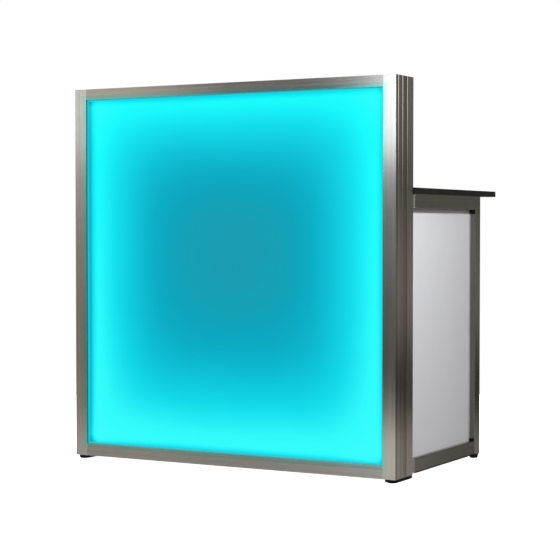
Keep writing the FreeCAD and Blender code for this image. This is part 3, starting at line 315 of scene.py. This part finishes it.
def lit_sheet():
    m, t, p = material("lit_opal")
    tc = t.new("ShaderNodeTexCoord")
    sep = t.new("ShaderNodeSeparateXYZ")
    t.link(tc.outputs["Object"], sep.inputs[0])
    x, z = sep.outputs[0], sep.outputs[2]
    d = [t.math("ADD", x, 0.56), t.math("SUBTRACT", 0.56, x), t.math("SUBTRACT", z, 0.0535), t.math("SUBTRACT", 1.2285, z)]
    total = None
    for v, reach, power in zip(d, (0.162, 0.151, 0.204, 0.160), (1.03, 1.01, 1.022, 0.944)):
        e = t.math("MULTIPLY", t.math("EXPONENT", t.math("DIVIDE", v, -reach)), power)
        e = t.math("MULTIPLY", e, e)
        total = e if total is None else t.math("ADD", total, e)
    k = t.math("ADD", t.math("SQRT", total), 0.23)
    # soft shading along the frame, widest on the left
    rim = [t.math("POWER", t.ramp(d[0], 0.0135, 0.043, smooth=False), 0.65), t.math("POWER", t.ramp(d[1], 0.001, 0.030, smooth=False), 0.8),
           t.math("POWER", t.ramp(d[2], 0.000, 0.030, smooth=False), 0.9), t.math("POWER", t.ramp(d[3], 0.000, 0.026, smooth=False), 0.9)]
    rim = [t.ramp(v, 0.0, 1.0, low, 1.0, smooth=False) for v, low in zip(rim, (0.39, 0.46, 0.42, 0.44))]
    frame_shade = t.math("MULTIPLY", t.math("MULTIPLY", rim[0], rim[1]), t.math("MULTIPLY", rim[2], rim[3]))
    cloud = t.noise(t.coords((5.0, 5.0, 5.0), (0.3, 0.0, 1.7)), 1.0, 2.0, 0.5)
    glow = t.new("ShaderNodeValToRGB")
    stops = glow.color_ramp.elements
    while len(stops) < len(LIT_STOPS):
        stops.new(0.5)
    for i, (at, colour) in enumerate(LIT_STOPS):
        stops[i].position = at / 1.4
        stops[i].color = (*colour, 1.0)
    k = t.math("MULTIPLY", t.math("MULTIPLY", k, frame_shade), t.ramp(cloud, 0.3, 0.7, 0.985, 1.015, smooth=False))
    t.link(t.math("DIVIDE", k, 1.4), glow.inputs[0])
    warm = t.new("ShaderNodeCombineXYZ")
    t.link(t.math("MULTIPLY", t.ramp(k, 0.62, 1.05), t.ramp(z, 0.15, 1.05, 0.022, 0.001)), warm.inputs[0])
    both = t.new("ShaderNodeVectorMath", operation="ADD")
    t.link(glow.outputs[0], both.inputs[0])
    t.link(warm.outputs[0], both.inputs[1])
    t.link(both.outputs[0], p.inputs["Emission Color"])
    p.inputs["Emission Strength"].default_value = 1.0
    n1 = t.noise(t.coords((700.0,) * 3), 1.0, 3.0, 0.6)
    t.link(t.two(n1, (0.0012, 0.006, 0.007), (0.002, 0.009, 0.010)), p.inputs["Base Color"])
    t.link(t.ramp(cloud, 0.3, 0.7, 0.42, 0.5, smooth=False), p.inputs["Roughness"])
    p.inputs["Specular IOR Level"].default_value = 0.03
    return m


def silicone():
    m, t, p = material("clear_silicone_painted_glow")
    n1 = t.noise(t.coords((260.0,) * 3), 1.0, 3.0, 0.6)
    t.link(t.two(n1, (0.03, 0.11, 0.12), (0.05, 0.15, 0.16)), p.inputs["Base Color"])
    t.link(t.ramp(n1, 0.3, 0.7, 0.4, 0.55, smooth=False), p.inputs["Roughness"])
    # painted light: the gasket glows in place of the sheet's light showing through the clear silicone
    p.inputs["Emission Color"].default_value = (0.004, 0.80, 0.92, 1.0)
    t.link(t.ramp(n1, 0.3, 0.7, 0.47, 0.56, smooth=False), p.inputs["Emission Strength"])
    return m


def led_chip():
    m, t, p = material("led_chip")
    n1 = t.noise(t.coords((900.0,) * 3), 1.0, 2.0, 0.5)
    t.link(t.two(n1, (0.7, 0.75, 0.6), (0.85, 0.88, 0.75)), p.inputs["Base Color"])
    t.link(t.ramp(n1, 0.3, 0.7, 0.2, 0.35, smooth=False), p.inputs["Roughness"])
    p.inputs["Emission Color"].default_value = (*LIT_HUE, 1.0)
    t.link(t.ramp(n1, 0.2, 0.8, 2.0, 3.0, smooth=False), p.inputs["Emission Strength"])
    return m


LIT, SILICONE, CHIP = lit_sheet(), silicone(), led_chip()


def paint(names, mat):
    for n in names:
        o = NODES[n]
        o.data.materials.clear()
        o.data.materials.append(mat)


paint(["front_post_left", "front_post_right"], FRAME["Z"])
paint(["tall_post_left", "tall_post_right"], METAL["Z"])
paint(["wing_rear_post_left", "wing_rear_post_right", "wing_hinge_stile_left", "wing_hinge_stile_right"], WING["Z"])
paint(["front_rail_top", "front_rail_bottom"], FRAME["X"])
paint(["ledger_rail", "rear_bottom_rail"], METAL["X"])
paint(["wing_top_rail_left", "wing_top_rail_right", "wing_bottom_rail_left", "wing_bottom_rail_right"], WING["Y"])
paint(["front_diffuser"], LIT)
paint(["diffuser_gasket"], SILICONE)
paint(["led_chips"], CHIP)
paint(["led_strips"], BOARD_MASK)
paint(["light_box_back_panel"], BACK)
paint(["wing_panel_left", "wing_panel_right"], PANEL)
paint(["worktop_board"], LAMINATE)
paint(["worktop_edging"], EDGING)
paint(["frame_bolts", "frame_screws", "frame_spacers", "corner_brackets", "hinge_leaves_fixed", "hinge_pins", "hinge_leaves_wing_left",
       "hinge_leaves_wing_right", "hinge_screws_wing_left", "hinge_screws_wing_right", "worktop_dowels", "inlet_contacts"], STEEL)
paint(["post_top_plugs", "inlet_socket", "switch_bezel", "rocker_switch", "colour_button", "brightness_button"], BLACK)
paint(["worktop_pads", "led_lead"], RUBBER)
paint(["base_plates", "wing_end_caps_left", "wing_end_caps_right", "wing_panel_clips_left", "wing_panel_clips_right"] + ["foot_%s_%s" % (a, b) for a in ("front", "tall", "wing") for b in ("left", "right")], JET)
paint(["control_box_case", "control_box_cover"], POWDER)
paint(["led_driver"], DRIVER)

# ------------------------------------------------------------------ small trim on the wings
def piece(name, verts, faces, mat, body, bevel=0.0):
    mesh = bpy.data.meshes.new(name)
    mesh.from_pydata(verts, [], faces)
    bm = bmesh.new()
    bm.from_mesh(mesh)
    bmesh.ops.recalc_face_normals(bm, faces=bm.faces)
    bm.to_mesh(mesh)
    bm.free()
    o = bpy.data.objects.new(name, mesh)
    scene.collection.objects.link(o)
    for m in mat if isinstance(mat, list) else [mat]:
        mesh.materials.append(m)
    if bevel:
        b = o.modifiers.new("edges", "BEVEL")
        b.width, b.segments, b.limit_method = bevel, 2, "ANGLE"
    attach(o, body)
    return o


def swept(profile, corners):
    """A closed profile (u out from the sheet, v in from the frame) along a U of (y, z) corners with mitred turns."""
    n = len(profile)
    verts, faces = [], []
    for y, z, ny, nz in corners:
        verts += [(u, y + v * ny, z + v * nz) for u, v in profile]
    for k in range(len(corners) - 1):
        for i in range(n):
            j = (i + 1) % n
            faces.append((k * n + i, k * n + j, (k + 1) * n + j, (k + 1) * n + i))
    faces.append(tuple(range(n)))
    faces.append(tuple((len(corners) - 1) * n + i for i in range(n)))
    return verts, faces


for side, sg in (("right", 1.0), ("left", -1.0)):
    body = "wing_" + side
    sheet_lo, sheet_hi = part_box("wing_panel_" + side)
    rail_lo, rail_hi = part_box("wing_bottom_rail_" + side)
    top_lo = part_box("wing_top_rail_" + side)[0]
    post_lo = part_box("wing_rear_post_" + side)[0]
    face = sheet_hi[0] if sg > 0 else sheet_lo[0]
    outer = rail_hi[0] if sg > 0 else rail_lo[0]
    room = abs(outer - face)
    z0, z1, y1 = rail_hi[2], top_lo[2], post_lo[1]
    y0 = rail_lo[1] + 0.012
    turns = [(y0, z0, 0.0, 1.0), (y1, z0, -1.0, 1.0), (y1, z1, -1.0, -1.0), (y0, z1, 0.0, -1.0)]
    upper = [(y1, z0 + 0.0014, -1.0, 0.0)] + turns[2:]
    # flat bead on the frame's inner faces, a real part whose dark metal is painted shade on those faces
    w = room - 0.0016
    flat = [(0.0036, 0.0), (w, 0.0), (w, 0.0008), (w - 0.0006, 0.0014), (0.0042, 0.0014), (0.0036, 0.0008)]
    verts, faces = swept([(face + sg * u, v) for u, v in flat], turns)
    bead = piece("glazing_bead_" + side, verts, faces, [BEAD["Y"], BEAD["Z"]], body)
    for f in bead.data.polygons:
        up = abs(f.center[1] - y1) < 0.0016 and z0 + 0.002 < f.center[2] < z1 - 0.002
        f.material_index = 1 if up else 0
    # soft lip between the bead and the sheet
    lip = [(0.0001, 0.0), (0.0036, 0.0), (0.0036, 0.0022), (0.0030, 0.0036), (0.0016, 0.0042), (0.0001, 0.0042)]
    verts, faces = swept([(face + sg * u, v) for u, v in lip], upper)
    piece("panel_seal_" + side, verts, faces, SEAL, body)
    # black angle strip round the lower outer edge of the bottom rail, with a rounded nose
    ya, yb, zb = rail_lo[1] + 0.008, rail_hi[1] - 0.001, rail_lo[2]
    edge_angle = [(-0.030, 0.0), (0.0, 0.0), (0.0, 0.0032), (0.0003, 0.0034), (0.0006, 0.0030), (0.0006, 0.0), (0.0003, -0.0005), (0.0, -0.0006), (-0.0295, -0.0006), (-0.030, -0.0002)]
    n = len(edge_angle)
    verts = [(outer + sg * u, y, zb + v) for y in (ya, yb) for u, v in edge_angle]
    faces = [(i, (i + 1) % n, n + (i + 1) % n, n + i) for i in range(n)] + [tuple(range(n)), tuple(range(n, 2 * n))]
    piece("rail_black_edge_" + side, verts, faces, JET, body)

# ------------------------------------------------------------------ on and off marks on the rocker: a bar and a ring, laid into its face
rocker = NODES["rocker_switch"].data
skin = BVHTree.FromPolygons([v.co for v in rocker.vertices], [f.vertices for f in rocker.polygons])
r_lo, r_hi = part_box("rocker_switch")
mid_x, mid_z = (r_lo[0] + r_hi[0]) / 2, (r_lo[2] + r_hi[2]) / 2


def on_face(x, z):
    return skin.ray_cast(Vector((x, r_hi[1] + 0.01, z)), Vector((0, -1, 0)))[0][1]


def inlay(name, outer, inner):
    """A thin band between two closed outlines of (x, z) points that follows the rocker's face."""
    n = len(outer)
    verts = [(x, on_face(x, z) + d, z) for ring in (outer, inner) for d in (0.00012, -0.0003) for x, z in ring]
    faces = []
    for i in range(n):
        j = (i + 1) % n
        for a, b in ((0, 2 * n), (2 * n, 3 * n), (3 * n, n), (n, 0)):
            faces.append((a + i, a + j, b + j, b + i))
    piece(name, verts, faces, MARK, "rocker")


def ring_of(r_x, r_z, z, n=32):
    return [(mid_x + r_x * math.cos(2 * math.pi * i / n), z + r_z * math.sin(2 * math.pi * i / n)) for i in range(n)]


inlay("rocker_mark_off", ring_of(0.0014, 0.0014, mid_z - 0.0027), ring_of(0.00095, 0.00095, mid_z - 0.0027))
inlay("rocker_mark_on", ring_of(0.00032, 0.0014, mid_z + 0.0027), ring_of(0.00004, 0.0011, mid_z + 0.0027))

# ------------------------------------------------------------------ floor, studio, light
bm = bmesh.new()
bmesh.ops.create_circle(bm, cap_ends=True, segments=128, radius=2.3)
mesh = bpy.data.meshes.new("floor")
bm.to_mesh(mesh)
bm.free()
floor = bpy.data.objects.new("floor", mesh)
scene.collection.objects.link(floor)
floor.location = (0, 0, -0.0002)
floor.visible_glossy = False
floor.visible_diffuse = False
fm, t, p = material("pale_floor")
n1 = t.noise(t.coords((3.0, 3.0, 3.0)), 1.0, 2.0, 0.5)
t.link(t.two(n1, (0.80, 0.80, 0.80), (0.83, 0.83, 0.83)), p.inputs["Base Color"])
p.inputs["Roughness"].default_value = 0.9
p.inputs["Specular IOR Level"].default_value = 0.0
p.inputs["Emission Color"].default_value = (1, 1, 1, 1)
p.inputs["Emission Strength"].default_value = 0.9
floor.data.materials.append(fm)


def lamp(name, at, aim, size, watts):
    """Square soft light that only lights matt surfaces; the metal sees the studio below instead."""
    data = bpy.data.lights.new(name, "AREA")
    data.shape = "SQUARE"
    data.size = size
    data.energy = watts
    o = bpy.data.objects.new(name, data)
    scene.collection.objects.link(o)
    o.location = at
    o.rotation_mode = "QUATERNION"
    o.rotation_quaternion = (Vector(aim) - Vector(at)).to_track_quat("-Z", "Y")
    o.visible_glossy = False
    return o


lamp("key_right", (1.60, -1.15, 1.60), (0.6, 0.0, 0.5), 0.22, 29.3)
lamp("fill_left", (-1.75, -1.15, 1.40), (-0.6, 0.0, 0.5), 0.7, 24.0)
lamp("fill_back", (0.5, 2.3, 1.9), (0.0, 0.0, 0.5), 0.9, 68.0)

world = bpy.data.worlds.new("studio")
scene.world = world
world.use_nodes = True
t = Tree(world.node_tree)
out = t.new("ShaderNodeOutputWorld")
tc = t.new("ShaderNodeTexCoord")
sep = t.new("ShaderNodeSeparateXYZ")
t.link(tc.outputs["Generated"], sep.inputs[0])
dx, dy, dz = sep.outputs[0], sep.outputs[1], sep.outputs[2]
DEG = 180.0 / math.pi
# compass angle: 0 is in front of the booth, positive to its left; el is the height above the horizon
az = t.math("MULTIPLY", t.math("ARCTAN2", t.math("MULTIPLY", dx, -1.0), t.math("MULTIPLY", dy, -1.0)), DEG)
el = t.math("MULTIPLY", t.math("ARCSINE", dz), DEG)


def window(v, a, b, soft_a, soft_b):
    return t.math("MULTIPLY", t.ramp(v, a - soft_a, a + soft_a), t.ramp(v, b - soft_b, b + soft_b, 1.0, 0.0))


def softbox(a0, a1, e0, e1, power, sa=1.5, se=1.2, far=None):
    w = t.math("MULTIPLY", window(az, a0, a1, far or sa, sa), window(el, e0, e1, se, 8.0))
    return t.math("MULTIPLY", w, power)


def profile(stops):
    """Brightness by height, from a list of (degrees, value)."""
    n = t.new("ShaderNodeValToRGB")
    t.link(t.ramp(el, -12.0, 8.0, smooth=False), n.inputs[0])
    e = n.color_ramp.elements
    while len(e) < len(stops):
        e.new(0.5)
    for i, (deg, v) in enumerate(stops):
        e[i].position = (deg + 12.0) / 20.0
        e[i].color = (v, v, v, 1.0)
    return n.outputs[0]


def tinted(v, colour):
    n = t.new("ShaderNodeVectorMath", operation="SCALE")
    n.inputs[0].default_value = colour
    t.link(v, n.inputs["Scale"])
    return n.outputs[0]


front = profile([(-12.0, 0.30), (-9.6, 0.40), (-8.6, 0.86), (-7.2, 0.86), (-6.85, 0.55), (-6.5, 0.08), (-6.1, 0.03), (-5.4, 0.040), (-4.4, 0.072), (-3.0, 0.103), (0.0, 0.18), (2.0, 0.195), (8.0, 0.16)])
back = profile([(-12.0, 0.20), (-7.6, 0.26), (-7.0, 0.20), (-6.5, 0.12), (-6.0, 0.04), (-5.0, 0.05), (-4.2, 0.11), (-3.2, 0.18), (-1.9, 0.21),
                (0.0, 0.165), (1.5, 0.105), (3.0, 0.15), (5.0, 0.17), (8.0, 0.11)])
wall = profile([(-12.0, 0.34), (-8.0, 0.40), (-6.5, 0.24), (-4.0, 0.20), (0.0, 0.30), (3.0, 0.42), (8.0, 0.50)])
# the floor is paler close by and darker towards the wing's rear
near = t.math("ADD", 1.0, t.math("MULTIPLY", t.ramp(az, -157.6, -155.4, -0.42, 0.52), t.ramp(el, -6.4, -7.4)))
left_dim = t.math("SUBTRACT", 1.0, t.math("MULTIPLY", t.ramp(az, 27.0, 40.0), t.ramp(el, -6.9, -5.9, 0.64, 0.0)))
turn = t.ramp(t.math("ABSOLUTE", t.math("SUBTRACT", az, 20.0)), 40.0, 80.0)
ahead = t.math("MULTIPLY", t.math("MULTIPLY", front, t.math("SUBTRACT", 1.0, turn)), left_dim)
low = t.ramp(el, -6.5, -5.5, 1.0, 0.0)
seen = [tinted(t.math("MULTIPLY", ahead, t.math("SUBTRACT", 1.0, low)), (1.0, 1.01, 1.06)),
        tinted(t.math("MULTIPLY", ahead, low), (1.01, 0.972, 0.92)),
        tinted(t.math("MULTIPLY", t.math("MULTIPLY", back, turn), near), (0.972, 0.909, 0.805)),
        # main light, in front and a little to the left
        tinted(softbox(9.0, 25.4, 2.54, 34.0, 2.9, 1.6, 0.55, 5.0), (0.972, 1.021, 1.085)),
        tinted(softbox(-30.0, 9.0, 2.5, 34.0, 0.8, 5.0, 0.7), (0.972, 1.0, 1.03)),
        # second light, further left, and the paler wall under it
        tinted(softbox(32.4, 62.0, 2.3, 34.0, 0.42, 2.2, 0.8), (0.972, 0.915, 0.70)),
        tinted(t.math("MULTIPLY", t.math("MULTIPLY", window(az, 32.4, 62.0, 2.2, 2.2), window(el, 2.3, 7.0, 0.8, 1.5)), 0.25), (0.972, 1.03, 1.14)),
        tinted(t.math("MULTIPLY", t.math("MULTIPLY", window(az, 33.0, 75.0, 2.0, 10.0), window(el, -5.6, 2.4, 0.8, 0.8)), 0.24), (0.972, 0.90, 0.68)),
        tinted(t.math("MULTIPLY", t.math("MULTIPLY", window(az, 31.5, 75.0, 2.5, 10.0), window(el, -6.9, -5.1, 0.5, 0.8)), 0.25), (0.972, 0.93, 0.70)),
        # strip light, front right
        tinted(softbox(-84.0, -46.0, 3.3, 30.0, 1.15, 4.0, 2.0), (0.972, 0.965, 0.919)),
        # side light, high on the right, and the overhead light
        tinted(softbox(-145.0, -45.0, 30.0, 62.0, 0.3, 14.0, 8.0), (1.0, 1.0, 1.0)),
        tinted(t.math("MULTIPLY", t.ramp(el, 48.0, 66.0), 1.25), (1.0, 1.0, 1.0))]
# pale floor further down, and soft walls of light behind the booth and out to both sides, seen in the metal only
extra = [tinted(t.ramp(el, -14.0, -26.0, 0.0, 0.42), (1.0, 0.99, 0.97)),
         tinted(t.math("MULTIPLY", t.math("ADD", t.ramp(az, 140.0, 160.0), t.ramp(az, -171.0, -178.0)), wall), (1.0, 0.99, 0.97)),
         tinted(t.math("MULTIPLY", window(az, -124.0, -94.0, 7.0, 5.0), wall), (1.0, 0.99, 0.97)),
         tinted(t.math("MULTIPLY", window(az, 82.0, 126.0, 7.0, 8.0), wall), (1.0, 0.99, 0.97))]


def total(parts):
    level = parts[0]
    for part in parts[1:]:
        n = t.new("ShaderNodeVectorMath", operation="ADD")
        t.link(level, n.inputs[0])
        t.link(part, n.inputs[1])
        level = n.outputs[0]
    return level


path = t.new("ShaderNodeLightPath")
gloss = t.new("ShaderNodeVectorMath", operation="SCALE")
t.link(total(extra), gloss.inputs[0])
t.link(t.math("SUBTRACT", 1.0, path.outputs["Is Diffuse Ray"]), gloss.inputs["Scale"])
room = t.new("ShaderNodeVectorMath", operation="SCALE")
t.link(total(seen), room.inputs[0])
t.link(t.ramp(path.outputs["Is Diffuse Ray"], 0.0, 1.0, 1.0, 0.62, smooth=False), room.inputs["Scale"])
light_bg = t.new("ShaderNodeBackground")
t.link(total([room.outputs[0], gloss.outputs[0]]), light_bg.inputs["Color"])
view_bg = t.new("ShaderNodeBackground")
view_bg.inputs["Color"].default_value = (1, 1, 1, 1)
mix = t.new("ShaderNodeMixShader")
t.link(path.outputs["Is Camera Ray"], mix.inputs[0])
t.link(light_bg.outputs[0], mix.inputs[1])
t.link(view_bg.outputs[0], mix.inputs[2])
t.link(mix.outputs[0], out.inputs["Surface"])
